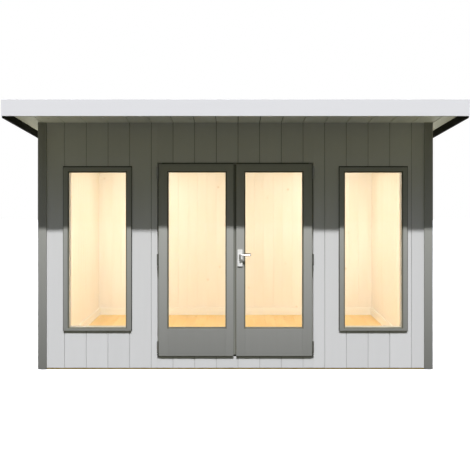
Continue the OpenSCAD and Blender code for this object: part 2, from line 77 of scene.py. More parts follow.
REBATE_REACH = Vector((0, CUT_REACH * 2, 0))
LEAST_GROOVES = 4
SQUEEZE = 0.06
PEEL_SCALE = 320.0
PEEL_SHARE = 0.25
PAINT_TONE_SHARE = 0.5
BOARD_SHIFT = 37.0
RING_SHAPE = {"Distortion": 5.0, "Detail": 3.0, "Detail Scale": 1.2}
FIBRE_SCALE = 60.0
FIBRE_SHARE = 0.4
KNOT_RADII = (0.03, 0.10)

Piece = bpy.types.Object
Socket = bpy.types.NodeSocket
Box = tuple[Vector, Vector]
EdgeTest = Callable[[Vector, Vector], bool]
TONES = random.Random(TONE_SEED)
NODES: dict[str, Piece] = {}


class Axis(Enum):
    """The three directions of the shared frame."""

    X = 0
    Y = 1
    Z = 2


class Face(Enum):
    """Which side of a board shows."""

    LOW = 0
    HIGH = 1


class Side(Enum):
    """Left or right, as seen from the front."""

    LEFT = "left"
    RIGHT = "right"


# Modelling steps


def select_only(*objects: Piece) -> None:
    """Select these objects and make the first one active.

    Args:
        objects: What the next operator acts on.
    """
    bpy.ops.object.select_all(action="DESELECT")
    for obj in objects:
        obj.select_set(True)
    bpy.context.view_layer.objects.active = objects[0]


def add_block(name: str, low: Sequence[float], high: Sequence[float]) -> Piece:
    """Add a squared block between two corners, with its place in its mesh.

    Args:
        name: The new object's name.
        low: Its lowest corner.
        high: Its highest corner.

    Returns:
        The new object.
    """
    low, high = Vector(low), Vector(high)
    bpy.ops.mesh.primitive_cube_add(size=1.0, location=(low + high) / 2, scale=high - low)
    block = bpy.context.object
    block.name = block.data.name = name
    bpy.ops.object.transform_apply()
    return block


def bevel_edges(obj: Piece, width: float, segments: int = 2, wanted: EdgeTest | None = None) -> None:
    """Bevel the sharp edges of a piece, or those that a test picks.

    Args:
        obj: The piece.
        width: The bevel's offset in metres.
        segments: How many faces the bevel has.
        wanted: Tells from an edge's two ends whether it is bevelled.
    """
    select_only(obj)
    bpy.ops.object.mode_set(mode="EDIT")
    bpy.ops.mesh.select_mode(type="EDGE")
    bpy.ops.mesh.select_all(action="DESELECT")
    if wanted is None:
        bpy.ops.mesh.edges_select_sharp(sharpness=SHARP_ANGLE)
    else:
        bpy.ops.object.mode_set(mode="OBJECT")
        points = obj.data.vertices
        for edge in obj.data.edges:
            edge.select = wanted(points[edge.vertices[0]].co, points[edge.vertices[1]].co)
        bpy.ops.object.mode_set(mode="EDIT")
    bpy.ops.mesh.bevel(offset=width, segments=segments, affect="EDGES")
    bpy.ops.object.mode_set(mode="OBJECT")


def cut_out(obj: Piece, low: Sequence[float], high: Sequence[float]) -> None:
    """Cut a squared hole through a piece.

    Args:
        obj: The piece.
        low: The hole's lowest corner.
        high: The hole's highest corner.
    """
    cutter = add_block(obj.name + "_cutter", low, high)
    select_only(obj)
    hole = obj.modifiers.new("hole", "BOOLEAN")
    hole.operation = "DIFFERENCE"
    hole.solver = "EXACT"
    hole.object = cutter
    bpy.ops.object.modifier_apply(modifier=hole.name)
    bpy.data.objects.remove(cutter)


def join_pieces(name: str, pieces: Sequence[Piece]) -> Piece:
    """Join pieces into one object at the origin.

    Args:
        name: The joined object's name.
        pieces: The pieces to join.

    Returns:
        The joined object.
    """
    select_only(*pieces)
    if len(pieces) > 1:
        bpy.ops.object.join()
    joined = bpy.context.view_layer.objects.active
    joined.name = joined.data.name = name
    bpy.ops.object.transform_apply()
    return joined


def ease_node(node: str, name: str, width: float, finish: Finish, body: str = "pod") -> None:
    """Put a welded copy of a CAD node, with its arrises rounded, in the node's place.

    Args:
        node: The CAD node.
        name: The copy's name.
        width: How far the arris is taken off.
        finish: The copy's finish.
        body: The CAD body that it rides on.
    """
    piece = bpy.data.objects.new(name, NODES[node].data.copy())
    piece.data.name = name
    bpy.context.scene.collection.objects.link(piece)
    select_only(piece)
    bpy.ops.object.mode_set(mode="EDIT")
    bpy.ops.mesh.select_all(action="SELECT")
    bpy.ops.mesh.remove_doubles(threshold=WELD_GAP)
    bpy.ops.mesh.customdata_custom_splitnormals_clear()
    bpy.ops.mesh.dissolve_limited(angle_limit=FLAT_ANGLE)
    bpy.ops.object.mode_set(mode="OBJECT")
    bevel_edges(piece, width)
    place(piece, finish, body, [node])


def set_tone(obj: Piece, tone: float) -> None:
    """Give every face of a board one tone, which its finish reads.

    Args:
        obj: The board.
        tone: A value from 0 to 1, or JOINT_TONE.
    """
    mesh = obj.data
    layer = mesh.attributes.get(TONE_NAME) or mesh.attributes.new(TONE_NAME, "FLOAT", "FACE")
    layer.data.foreach_set("value", [tone] * len(mesh.polygons))


def place(piece: Piece, finish: Finish, body: str = "pod", stands_for: Sequence[str] = ()) -> None:
    """Dress a finished piece and hand it to the frame.

    Args:
        piece: The piece.
        finish: Its finish.
        body: The CAD body that it rides on.
        stands_for: The CAD nodes that it replaces.
    """
    select_only(piece)
    bpy.ops.object.shade_smooth_by_angle(angle=SHARP_ANGLE)
    shading = piece.modifiers.new("flat_faces", "WEIGHTED_NORMAL")
    shading.keep_sharp = True
    bpy.ops.object.modifier_apply(modifier=shading.name)
    piece.data.materials.clear()
    piece.data.materials.append(finish.material())
    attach(piece, body)
    for node in stands_for:
        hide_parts(node)
    LOG.info("%s rides on %s with %d faces", piece.name, body, len(piece.data.polygons))


# Finishes


class NodeBench:
    """Adds and links the nodes of one node tree."""

    def __init__(self, tree: bpy.types.NodeTree) -> None:
        """Keep the tree that the nodes go into."""
        self.tree = tree

    def feed(self, socket: Socket, value: object) -> None:
        """Link another socket to an input, or set the input to a plain value.

        Args:
            socket: The input.
            value: What goes into it.
        """
        if isinstance(value, Socket):
            self.tree.links.new(value, socket)
        elif socket.type == "RGBA":
            socket.default_value = (*value, 1.0)
        else:
            socket.default_value = value

    def shade(self, name: str, value: object) -> None:
        """Link or set an input of the material's Principled shader."""
        self.feed(self.tree.nodes["Principled BSDF"].inputs[name], value)

    def add(self, kind: str, values: dict | None = None, **settings: object) -> bpy.types.Node:
        """Add a node.

        Args:
            kind: The node's type.
            values: What goes into its inputs.
            settings: Values for its own settings.

        Returns:
            The new node.
        """
        node = self.tree.nodes.new(kind)
        for name, value in settings.items():
            setattr(node, name, value)
        for name, value in (values or {}).items():
            self.feed(node.inputs[name], value)
        return node

    def math(self, operation: str, first: object, second: object = 0.0) -> Socket:
        """Add a Math node on two sockets or numbers and return its output."""
        return self.add("ShaderNodeMath", {0: first, 1: second}, operation=operation).outputs[0]

    def blend(self, first: Socket, second: Socket, share: float) -> Socket:
        """Return two values added up, with the second one's share given."""
        parts = (self.math("MULTIPLY", first, 1.0 - share), self.math("MULTIPLY", second, share))
        return self.math("ADD", *parts)

    def remap(self, value: Socket, span: tuple = (0.0, 1.0), to: tuple = (0.0, 1.0)) -> Socket:
        """Return a value moved from one span to another and held inside it."""
        limits = dict(zip(("From Min", "From Max", "To Min", "To Max"), (*span, *to)))
        return self.add("ShaderNodeMapRange", {"Value": value, **limits}).outputs["Result"]

    def mix(self, share: Socket, first: object, second: object, blend: str = "MIX") -> Socket:
        """Mix two colours, each a socket or a plain colour, by the second one's share."""
        values = {"Factor": share, "A": first, "B": second}
        return self.add("ShaderNodeMix", values, data_type="RGBA", blend_type=blend).outputs["Result"]

    def noise(self, vector: Socket, scale: object, detail: float, roughness: float = 0.5) -> Socket:
        """Add a noise texture and return its value."""
        values = {"Vector": vector, "Scale": scale, "Detail": detail, "Roughness": roughness}
        return self.add("ShaderNodeTexNoise", values).outputs["Fac"]

    def position(self) -> Socket:
        """Return Object coordinates."""
        return self.add("ShaderNodeTexCoord").outputs["Object"]

    def along(self, axis: Axis) -> Socket:
        """Return one Object coordinate."""
        return self.add("ShaderNodeSeparateXYZ", {"Vector": self.position()}).outputs[axis.name]

    def tone(self) -> Socket:
        """Return each board's own tone."""
        return self.add("ShaderNodeAttribute", attribute_name=TONE_NAME).outputs["Fac"]


def new_group(name: str, vectors: Sequence[str], numbers: Sequence[str], outputs: Sequence[str]) -> tuple:
    """Start a shader node group with named sockets.

    Args:
        name: The group's name.
        vectors: The names of its vector inputs.
        numbers: The names of its number inputs.
        outputs: The names of its number outputs.

    Returns:
        The bench for its nodes, what it is given, and the sockets for its results.
    """
    tree = bpy.data.node_groups.new(name, "ShaderNodeTree")
    kinds = dict.fromkeys(vectors, "NodeSocketVector") | dict.fromkeys(numbers, "NodeSocketFloat")
    for label, kind in kinds.items():
        tree.interface.new_socket(label, in_out="INPUT", socket_type=kind)
    for label in outputs:
        tree.interface.new_socket(label, in_out="OUTPUT", socket_type="NodeSocketFloat")
    bench = NodeBench(tree)
    return bench, bench.add("NodeGroupInput").outputs, bench.add("NodeGroupOutput").inputs


@cache
def brush_group() -> bpy.types.NodeTree:
    """Return the group for brushed paint: streaks along the grain."""
    bench, given, result = new_group(
        "brushed_paint", ["Vector"], ["Tone", "Streak Scale"], ["Shade", "Height"]
    )
    streaks = bench.noise(given["Vector"], given["Streak Scale"], detail=4.0, roughness=0.6)
    peel = bench.noise(given["Vector"], PEEL_SCALE, detail=2.0)
    bench.feed(result["Shade"], bench.blend(streaks, given["Tone"], PAINT_TONE_SHARE))
    bench.feed(result["Height"], bench.math("ADD", streaks, bench.math("MULTIPLY", peel, PEEL_SHARE)))
    return bench.tree


@cache
def grain_group() -> bpy.types.NodeTree:
    """Return the group for bare timber: growth rings along the board, and knots."""
    bench, given, result = new_group(
        "timber_grain", ["Vector", "Place"], ["Tone", "Ring Scale", "Knot Scale"], ["Grain", "Knots"]
    )
    shift = bench.math("MULTIPLY", given["Tone"], BOARD_SHIFT)
    drift = bench.add("ShaderNodeCombineXYZ", dict.fromkeys("XYZ", shift)).outputs["Vector"]
    vector, spot = (
        bench.add("ShaderNodeVectorMath", {0: given[label], 1: drift}, operation="ADD").outputs[0]
        for label in ("Vector", "Place")
    )
    wave = {"Vector": vector, "Scale": given["Ring Scale"], **RING_SHAPE}
    rings = bench.add("ShaderNodeTexWave", wave, wave_type="RINGS").outputs["Fac"]
    fibre = bench.noise(vector, FIBRE_SCALE, detail=3.0)
    cells = {"Vector": spot, "Scale": given["Knot Scale"], "Randomness": 1.0}
    distance = bench.add("ShaderNodeTexVoronoi", cells).outputs["Distance"]
    bench.feed(result["Grain"], bench.blend(rings, fibre, FIBRE_SHARE))
    bench.feed(result["Knots"], bench.remap(distance, KNOT_RADII, (1.0, 0.0)))
    return bench.tree


class Grain(Enum):
    """How much a pattern is squeezed along X, Y and Z so that it runs along the board."""

    ALONG_X = (SQUEEZE, 1.0, 1.0)
    ALONG_Y = (1.0, SQUEEZE, 1.0)
    ALONG_Z = (1.0, 1.0, SQUEEZE)
    LEVEL = (SQUEEZE, SQUEEZE, 1.0)
    EVEN = (1.0, 1.0, 1.0)


@dataclass(frozen=True)
class Finish:
    """A finish: one material, built once, for one slot of the record."""

    name: str
    slot: str
    roughness: float = 0.5
    grain: Grain = Grain.EVEN
    gloss: float = 0.5
    relief: float = 0.0002

    @cache
    def material(self) -> bpy.types.Material:
        """Return the finish's material, building it the first time."""
        material = bpy.data.materials.new(self.name)
        material.use_nodes = True
        bench = NodeBench(material.node_tree)
        bench.shade("Roughness", self.roughness)
        bench.shade("Specular IOR Level", self.gloss)
        self.wire(bench)
        return material

    def wire(self, bench: NodeBench) -> None:
        """Add the nodes that make the finish."""

    def pattern(self, bench: NodeBench) -> Socket:
        """Return Object coordinates squeezed along the grain."""
        values = {"Vector": bench.position(), "Scale": self.grain.value}
        return bench.add("ShaderNodeMapping", values).outputs["Vector"]

    def texture(self, bench: NodeBench, share: Socket, height: Socket, spread: float) -> None:
        """Vary the roughness and raise the surface.

        Args:
            bench: The material's nodes.
            share: What the roughness follows.
            height: What the relief follows.
            spread: How far the roughness goes up and down.
        """
        span = (self.roughness - spread, self.roughness + spread)
        bench.shade("Roughness", bench.remap(share, to=span))
        bump = bench.add("ShaderNodeBump", {"Strength": 1.0, "Distance": self.relief, "Height": height})
        bench.shade("Normal", bump.outputs["Normal"])


@dataclass(frozen=True, kw_only=True)
class Paint(Finish):
    """Brushed paint on planed timber."""

    grain: Grain = Grain.ALONG_Z
    dark: tuple
    light: tuple
    streak_scale: float = 30.0
    spread: float = 0.06

    def wire(self, bench: NodeBench) -> None:
        """Add streaks, board tones and a fine relief."""
        values = {"Vector": self.pattern(bench), "Tone": bench.tone(), "Streak Scale": self.streak_scale}
        brush = bench.add("ShaderNodeGroup", values, node_tree=brush_group()).outputs
        bench.shade("Base Color", self.colour(bench, brush["Shade"]))
        self.texture(bench, brush["Shade"], brush["Height"], self.spread)

    def colour(self, bench: NodeBench, shade: Socket) -> Socket:
        """Return the paint's colour for a shade from 0 to 1."""
        return bench.mix(shade, self.dark, self.light)


@dataclass(frozen=True)
class GroundShadedPaint(Paint):
    """Brushed paint darkened towards the ground by painted shade, standing in for the sheen that fades lower
    down.
    """

    ground_shade_span: tuple = (0.02, 1.30)
    ground_shade_share: float = 0.52

    def colour(self, bench: NodeBench, shade: Socket) -> Socket:
        """Darken the paint towards the ground with painted shade."""
        # Painted shade: the colour is multiplied down towards the ground.
        share = bench.remap(bench.along(Axis.Z), self.ground_shade_span, (1.0, 0.0))
        return bench.mix(share, super().colour(bench, shade), (self.ground_shade_share,) * 3, "MULTIPLY")


@dataclass(frozen=True)
class JointedPaint(GroundShadedPaint):
    """Ground-shaded paint on boards whose joints carry painted shade: near black high up, where the eaves'
    shadow falls, and lighter lower down.
    """

    upper_joint_shade: tuple = (0.02, 0.02, 0.018)
    lower_joint_shade: tuple = (0.36, 0.36, 0.355)
    joint_shade_span: tuple = (0.9, 1.75)

    def colour(self, bench: NodeBench, shade: Socket) -> Socket:
        """Put the joints' painted shade on the faces that carry the joints' tone, darker higher up."""
        lower_joint_share = bench.remap(bench.along(Axis.Z), self.joint_shade_span, (1.0, 0.0))
        # Painted shade in the joints: near black above, lighter below.
        in_joint = bench.math("LESS_THAN", bench.tone(), 0.0)
        return bench.mix(in_joint, super().colour(bench, shade), bench.mix(lower_joint_share, self.upper_joint_shade, self.lower_joint_shade))


@dataclass(frozen=True)
class ShadeBackedPaint(Paint):
    """Paint on the showing faces of the side fascias, whose backs and bottom edges carry near-black painted
    shade.
    """

    back_x: float = 1.9685
    back_shade: tuple = (0.010, 0.010, 0.006)

    def colour(self, bench: NodeBench, shade: Socket) -> Socket:
        """Put the painted shade on what lies inside the boards' outer faces."""
        # Painted shade: everything inside back_x turns near black.
        inside = bench.math("LESS_THAN", bench.math("ABSOLUTE", bench.along(Axis.X)), self.back_x)
        return bench.mix(inside, super().colour(bench, shade), self.back_shade)


@dataclass(frozen=True, kw_only=True)
class Timber(Finish):
    """Bare or lacquered timber with rings, fibre and knots."""

    relief: float = 0.0003
    early: tuple
    late: tuple
    knot: tuple
    ring_scale: float = 6.0
    knot_scale: float = 5.0
    tone_share: float = 0.2
    spread: float = 0.08

    def wire(self, bench: NodeBench) -> None:
        """Add grain, knots, board tones and relief."""
        tone = bench.tone()
        values = {
            "Vector": self.pattern(bench), "Place": bench.position(), "Tone": tone,
            "Ring Scale": self.ring_scale, "Knot Scale": self.knot_scale,
        }
        wood = bench.add("ShaderNodeGroup", values, node_tree=grain_group()).outputs
        plain = bench.mix(bench.blend(wood["Grain"], tone, self.tone_share), self.early, self.late)
        bench.shade("Base Color", bench.mix(wood["Knots"], plain, self.knot))
        self.texture(bench, wood["Grain"], wood["Grain"], self.spread)


@dataclass(frozen=True, kw_only=True)
class Speckle(Finish):
    """An even material with a fine speckle, such as membrane, gasket or metal."""

    dark: tuple
    light: tuple
    speckle_scale: float
    metallic: float = 0.0
    tone_share: float = 0.0
    spread_share: float = 0.2

    def wire(self, bench: NodeBench) -> None:
        """Add the speckle to colour, roughness and relief."""
        bench.shade("Metallic", self.metallic)
        speckle = bench.noise(self.pattern(bench), self.speckle_scale, detail=3.0)
        share = bench.blend(speckle, bench.tone(), self.tone_share)
        bench.shade("Base Color", bench.mix(share, self.dark, self.light))
        self.texture(bench, speckle, speckle, self.roughness * self.spread_share)


@dataclass(frozen=True)
class Glass(Finish):
    """Clear sealed glazing."""

    gloss: float = 0.25
    tint: tuple = (0.97, 0.985, 0.98)
    index: float = 1.45

    def wire(self, bench: NodeBench) -> None:
        """Make the shader clear."""
        bench.shade("Base Color", self.tint)
        bench.shade("Transmission Weight", 1.0)
        bench.shade("IOR", self.index)


# The cladding darkens a little towards the ground and in its joints: painted shade.
CLADDING_PAINT = JointedPaint(
    "pale_grey_paint", "painted_cladding", roughness=0.75,
    dark=(0.585, 0.585, 0.590), light=(0.640, 0.640, 0.645), gloss=0.12, ground_shade_share=0.94,
)
# The joinery paints darken towards the ground: painted shade.
FRAME_PAINT = GroundShadedPaint(
    "grey_green_frame_paint", "painted_joinery",
    dark=(0.295, 0.297, 0.277), light=(0.335, 0.337, 0.315), gloss=0.12,
)
DOOR_PAINT = GroundShadedPaint(
    "grey_green_door_paint", "painted_joinery", roughness=0.45,
    dark=(0.345, 0.347, 0.328), light=(0.386, 0.388, 0.369), gloss=0.02,
)
# The meeting moulding's grey-green, darkened by painted shade for its recess.
RECESS_SHADE_PAINT = Paint(
    "dark_grey_green_paint", "painted_joinery",
    dark=(0.192, 0.196, 0.172), light=(0.226, 0.230, 0.206), gloss=0.03,
)
FASCIA_PAINT = Paint(
    "off_white_paint", "painted_fascia", roughness=0.6, grain=Grain.ALONG_X,
    dark=(0.690, 0.690, 0.710), light=(0.735, 0.735, 0.755), gloss=0.2,
)
# The side fascias' backs and bottom edges carry painted shade.
SIDE_FASCIA_PAINT = ShadeBackedPaint(
    "off_white_paint_on_dark_backs", "painted_fascia", roughness=0.6, grain=Grain.ALONG_Y,
    dark=(0.690, 0.690, 0.710), light=(0.735, 0.735, 0.755), gloss=0.02,
)
LINING_PINE = Timber(
    "lacquered_lining_pine", "lining_timber", grain=Grain.ALONG_Z,
    early=(0.88, 0.815, 0.70), late=(0.83, 0.75, 0.615), knot=(0.74, 0.62, 0.45), tone_share=0.35,
)
SKIRTING_PINE = Timber(
    "lacquered_skirting_pine", "lining_timber", grain=Grain.LEVEL,
    early=(0.885, 0.845, 0.735), late=(0.85, 0.795, 0.67), knot=(0.74, 0.62, 0.45),
)
# The lining's pine, darkened for the window reveals: painted shade.
SHADED_REVEAL_PINE = Timber(
    "lacquered_reveal_pine", "lining_timber", grain=Grain.ALONG_Z,
    early=(0.58, 0.54, 0.45), late=(0.52, 0.47, 0.38), knot=(0.42, 0.34, 0.24), tone_share=0.35,
)
CEILING_PINE = Timber(
    "lacquered_ceiling_pine", "lining_timber", grain=Grain.ALONG_Y,
    early=(0.78, 0.77, 0.69), late=(0.70, 0.69, 0.60), knot=(0.52, 0.47, 0.36), tone_share=0.35,
)
FLOOR_PINE = Timber(
    "lacquered_floor_pine", "floor_timber", roughness=0.35, grain=Grain.ALONG_Y,
    early=(0.92, 0.605, 0.152), late=(0.82, 0.505, 0.106), knot=(0.52, 0.27, 0.07), tone_share=0.35,
)
# Near-black deck timber: painted shade, so that the gaps between the soffit boards read dark.
SHADED_DECK_TIMBER = Timber(
    "rough_deck_timber", "floor_timber", roughness=0.85, grain=Grain.ALONG_Y,
    early=(0.230, 0.220, 0.190), late=(0.175, 0.166, 0.142), knot=(0.090, 0.082, 0.068),
)
BEARER_TIMBER = Timber(
    "treated_bearer_timber", "bearer_timber", roughness=0.8, grain=Grain.ALONG_X,
    early=(0.26, 0.19, 0.048), late=(0.165, 0.115, 0.025), knot=(0.08, 0.05, 0.02),
)
MEMBRANE = Speckle(
    "granular_roof_felt", "roof_membrane", roughness=0.85, speckle_scale=420.0, relief=0.0008,
    dark=(0.030, 0.031, 0.034), light=(0.075, 0.075, 0.080), tone_share=0.5, gloss=0.15,
)
GASKET = Speckle(
    "glazing_gasket", "glazing_bead", roughness=0.6, speckle_scale=300.0, relief=0.0001, gloss=0.12,
    dark=(0.110, 0.110, 0.084), light=(0.150, 0.150, 0.119),
)
# Near-black strips that stand for shadow gaps: painted shade round the windows and over the door leaves.
SHADOW_GAP_BLACK = Speckle(
    "black_edge_rubber", "glazing_bead", roughness=0.7, speckle_scale=300.0, relief=0.0001, gloss=0.08,
    dark=(0.026, 0.026, 0.021), light=(0.042, 0.042, 0.035),
)
HINGE_STEEL = Speckle(
    "bronzed_hinge_steel", "hinge_steel", roughness=0.45, speckle_scale=500.0, relief=0.00005, metallic=0.3,
    dark=(0.070, 0.071, 0.062), light=(0.120, 0.121, 0.108),
)
LEVER_CHROME = Speckle(
    "polished_lever_chrome", "handle_metal", roughness=0.36, speckle_scale=80.0, relief=0.00001, metallic=1.0,
    dark=(0.34, 0.33, 0.315), light=(0.41, 0.40, 0.38),
)
PLATE_CHROME = Speckle(
    "satin_plate_chrome", "handle_metal", roughness=0.32, speckle_scale=400.0, relief=0.00001, metallic=0.12,
    dark=(0.74, 0.74, 0.73), light=(0.80, 0.80, 0.79), gloss=0.2,
)
CLEAR_GLASS = Glass("sealed_clear_glazing", "clear_glass", roughness=0.0)


def dress_node(node: str, finish: Finish) -> None:
    """Give a CAD node that stays in view its finish.

    Args:
        node: The CAD node.
        finish: Its finish.
    """
    mesh = NODES[node].data
    mesh.materials.clear()
    mesh.materials.append(finish.material())
    LOG.info("%s keeps its CAD shape, in %s", node, finish.name)


# Boarding


@dataclass
class Boarding:
    """A run of boards over one flat face, with open joints and eased edges."""

    spread: Axis
    face_axis: Axis
    face: Face
    pitch: float
    phase: float = 0.0
    joint_gap: float = 0.0034
    groove: float = 0.0015

    def edges(self, low: float, high: float) -> list[tuple[float, float]]:
        """Return where each board lies along the spread.

        Args:
            low: Where the run starts.
            high: Where it ends.

        Returns:
            The two edges of each board, the end ones cut to fit.
        """
        first = math.floor((low - self.phase) / self.pitch)
        last = math.ceil((high - self.phase) / self.pitch)
        half = self.joint_gap / 2
        starts = [self.phase + count * self.pitch for count in range(first, last)]
        spans = [(max(low, start + half), min(high, start + self.pitch - half)) for start in starts]
        return [span for span in spans if span[1] - span[0] > LEAST_GROOVES * self.groove]

    def layer(self, wall: Box, start: float, end: float | None = None) -> list[Vector]:
        """Return the layer of a wall between two depths behind its showing face.

        Args:
            wall: The wall's two corners.
            start: Where the layer starts.
            end: Where it ends, or None for the wall's inner face.

        Returns:
            The layer's lowest and highest corners.
        """
        axis, shown = self.face_axis.value, self.face.value
        corners = [corner.copy() for corner in wall]
        face = corners[shown][axis]
        inward = -1 if self.face is Face.HIGH else 1
        corners[shown][axis] = face + inward * start
        if end is not None:
            corners[1 - shown][axis] = face + inward * end
        return corners

    def board(self, name: str, low: Vector, high: Vector) -> Piece:
        """Model one board with its two long showing edges taken off.

        Args:
            name: The board's name.
            low: Its lowest corner.
            high: Its highest corner.

        Returns:
            The board.
        """
        block = add_block(name, low, high)
        shown = (low, high)[self.face.value][self.face_axis.value]

        def long_shown_edge(start: Vector, end: Vector) -> bool:
            """Tell whether an edge runs along the board on its showing face."""
            on_face = all(abs(point[self.face_axis.value] - shown) < WELD_GAP for point in (start, end))
            return on_face and abs(start[self.spread.value] - end[self.spread.value]) < WELD_GAP

        bevel_edges(block, self.groove, 1, long_shown_edge)
        return block

    def lay(self, name: str, low: Vector, high: Vector) -> Piece:
        """Lay the boards over a box.

        Args:
            name: The name of the joined run.
            low: The box's lowest corner.
            high: The box's highest corner.

        Returns:
            The boards as one object.
        """
        axis = self.spread.value
        boards = []
        for start, end in self.edges(low[axis], high[axis]):
            board_low, board_high = low.copy(), high.copy()
            board_low[axis], board_high[axis] = start, end
            board = self.board(name + "_board", board_low, board_high)
            set_tone(board, TONES.random())
            boards.append(board)
        return join_pieces(name, boards)


@dataclass(frozen=True)
class RoofPlane:
    """The sloping underside of the ceiling."""

    point: Vector
    normal: Vector
    fall: float

    @classmethod
    def from_frame(cls) -> "RoofPlane":
        """Read the slope from the ceiling boards and the panel over them."""
        low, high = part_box("ceiling_boards")
        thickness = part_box("roof_panel")[0].z - low.z
        fall = (high.z - thickness - low.z) / (high.y - low.y)
        return cls(Vector((0, high.y, low.z)), Vector((0, fall, 1)).normalized(), fall)

    def height(self, depth: float) -> float:
        """Return the underside's height at a depth."""
        return self.point.z - (depth - self.point.y) * self.fall

    @property
    def angle(self) -> float:
        """Return the slope's angle about X."""
        return -math.atan(self.fall)

    def trim(self, piece: Piece) -> None:
        """Cut off what lies over the underside and close the cut.

        Args:
            piece: A wall's layer or lining.
        """
        select_only(piece)
        bpy.ops.object.mode_set(mode="EDIT")
        bpy.ops.mesh.select_all(action="SELECT")
        bpy.ops.mesh.bisect(plane_co=self.point, plane_no=self.normal, use_fill=True, clear_outer=True)
        bpy.ops.object.mode_set(mode="OBJECT")


@dataclass
class Walls:
    """Painted boards on all four walls, over their timber cores."""

    roof: RoofPlane
    pitch: float = 0.2
    front_phase: float = 0.024
    board_t: float = 0.018
    joint_depth: float = 0.006
    strip_inset: float = 0.003

    def build(self) -> None:
        """Board the front in its four panels, then the back and the sides."""
        front = Boarding(Axis.X, Axis.Y, Face.LOW, self.pitch, self.front_phase)
        for node in ("front_wall_left", "front_wall_right", "front_wall_over_door", "front_wall_under_door"):
            self.panel(node, front)
        self.panel("back_wall", Boarding(Axis.X, Axis.Y, Face.HIGH, self.pitch, self.front_phase))
        for node, face in (("left_wall", Face.LOW), ("right_wall", Face.HIGH)):
            self.panel(node, Boarding(Axis.Y, Axis.X, face, self.pitch))
        self.ground_strip()

    def ground_strip(self) -> None:
        """Bed the front boards on the brown strip under them."""
        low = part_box("front_wall_left")[0]
        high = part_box("front_wall_right")[1]
        start, end = low.y + self.strip_inset, low.y + self.board_t
        strip = add_block("front_ground_strip", (low.x, start, 0.0), (high.x, end, low.z))
        bevel_edges(strip, self.strip_inset / 2)
        place(strip, BEARER_TIMBER)

    def panel(self, node: str, boarding: Boarding) -> None:
        """Board one wall panel and put it in place of its CAD node.

        Args:
            node: The CAD wall.
            boarding: How its boards run.
        """
        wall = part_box(node)
        core = boarding.layer(wall, self.board_t)
        core[0].z = max(core[0].z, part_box("floor_deck")[1].z)
        if node == "front_wall_under_door":
            low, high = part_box("door_threshold")
            core[0].x, core[1].x, core[1].z = low.x, high.x, low.z
        layers = [
            boarding.lay(node + "_boards", *boarding.layer(wall, 0.0, self.joint_depth)),
            add_block(node + "_tongues", *boarding.layer(wall, self.joint_depth, self.board_t)),
            add_block(node + "_core", *core),
        ]
        # The tongues carry the joints' tone, so they take the joints' painted shade.
        set_tone(layers[1], JOINT_TONE)
        side = node.removeprefix("front_wall_")
        for layer in layers:
            self.roof.trim(layer)
            if side in ("left", "right"):
                cut_out(layer, *window_hole(Side(side)))
        place(join_pieces(node + "_boards", layers), CLADDING_PAINT, stands_for=[node])


def window_hole(side: Side) -> Box:
    """Return the box that a window's hole takes out of the wall and the lining."""
    low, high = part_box(f"{side.value}_window_frame")
    return low + HOLE_LAP, high - HOLE_LAP


@dataclass
class Room:
    """Everything seen through the glass: lining boards, skirting and floor."""

    roof: RoofPlane
    pitch: float = 0.12
    joint_gap: float = 0.0004
    floor_gap: float = 0.0008
    arris: float = 0.003

    def build(self) -> None:
        """Line the walls, lay the floor and fix the skirting."""
        self.line("front_lining", Axis.X, Axis.Y, Face.HIGH)
        self.line("back_lining", Axis.X, Axis.Y, Face.LOW)
        self.line("left_lining", Axis.Y, Axis.X, Face.HIGH)
        self.line("right_lining", Axis.Y, Axis.X, Face.LOW)
        floor = Boarding(Axis.X, Axis.Z, Face.HIGH, self.pitch, joint_gap=self.floor_gap)
        place(floor.lay("floor_boards", *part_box("floor_deck")), FLOOR_PINE, stands_for=["floor_deck"])
        ease_node("skirting", "skirting_boards", self.arris, SKIRTING_PINE)
        ease_node("floor_bearers", "floor_bearer_beams", self.arris, BEARER_TIMBER)

    def line(self, node: str, spread: Axis, face_axis: Axis, face: Face) -> None:
        """Board one lining and put it in place of its CAD node.

        Args:
            node: The CAD lining.
            spread: Where the boards follow each other.
            face_axis: The direction that they face.
            face: Which side shows.
        """
        boarding = Boarding(spread, face_axis, face, self.pitch, joint_gap=self.joint_gap)
        lining = boarding.lay(node + "_boards", *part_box(node))
        self.roof.trim(lining)
        if node == "front_lining":
            for side in Side:
                cut_out(lining, *window_hole(side))
            jamb_low, jamb_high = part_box("left_door_jamb")[0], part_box("right_door_jamb")[1]
            cut_out(lining, jamb_low - DOORWAY_LOW, jamb_high + DOORWAY_HIGH)
        place(lining, LINING_PINE, stands_for=[node])


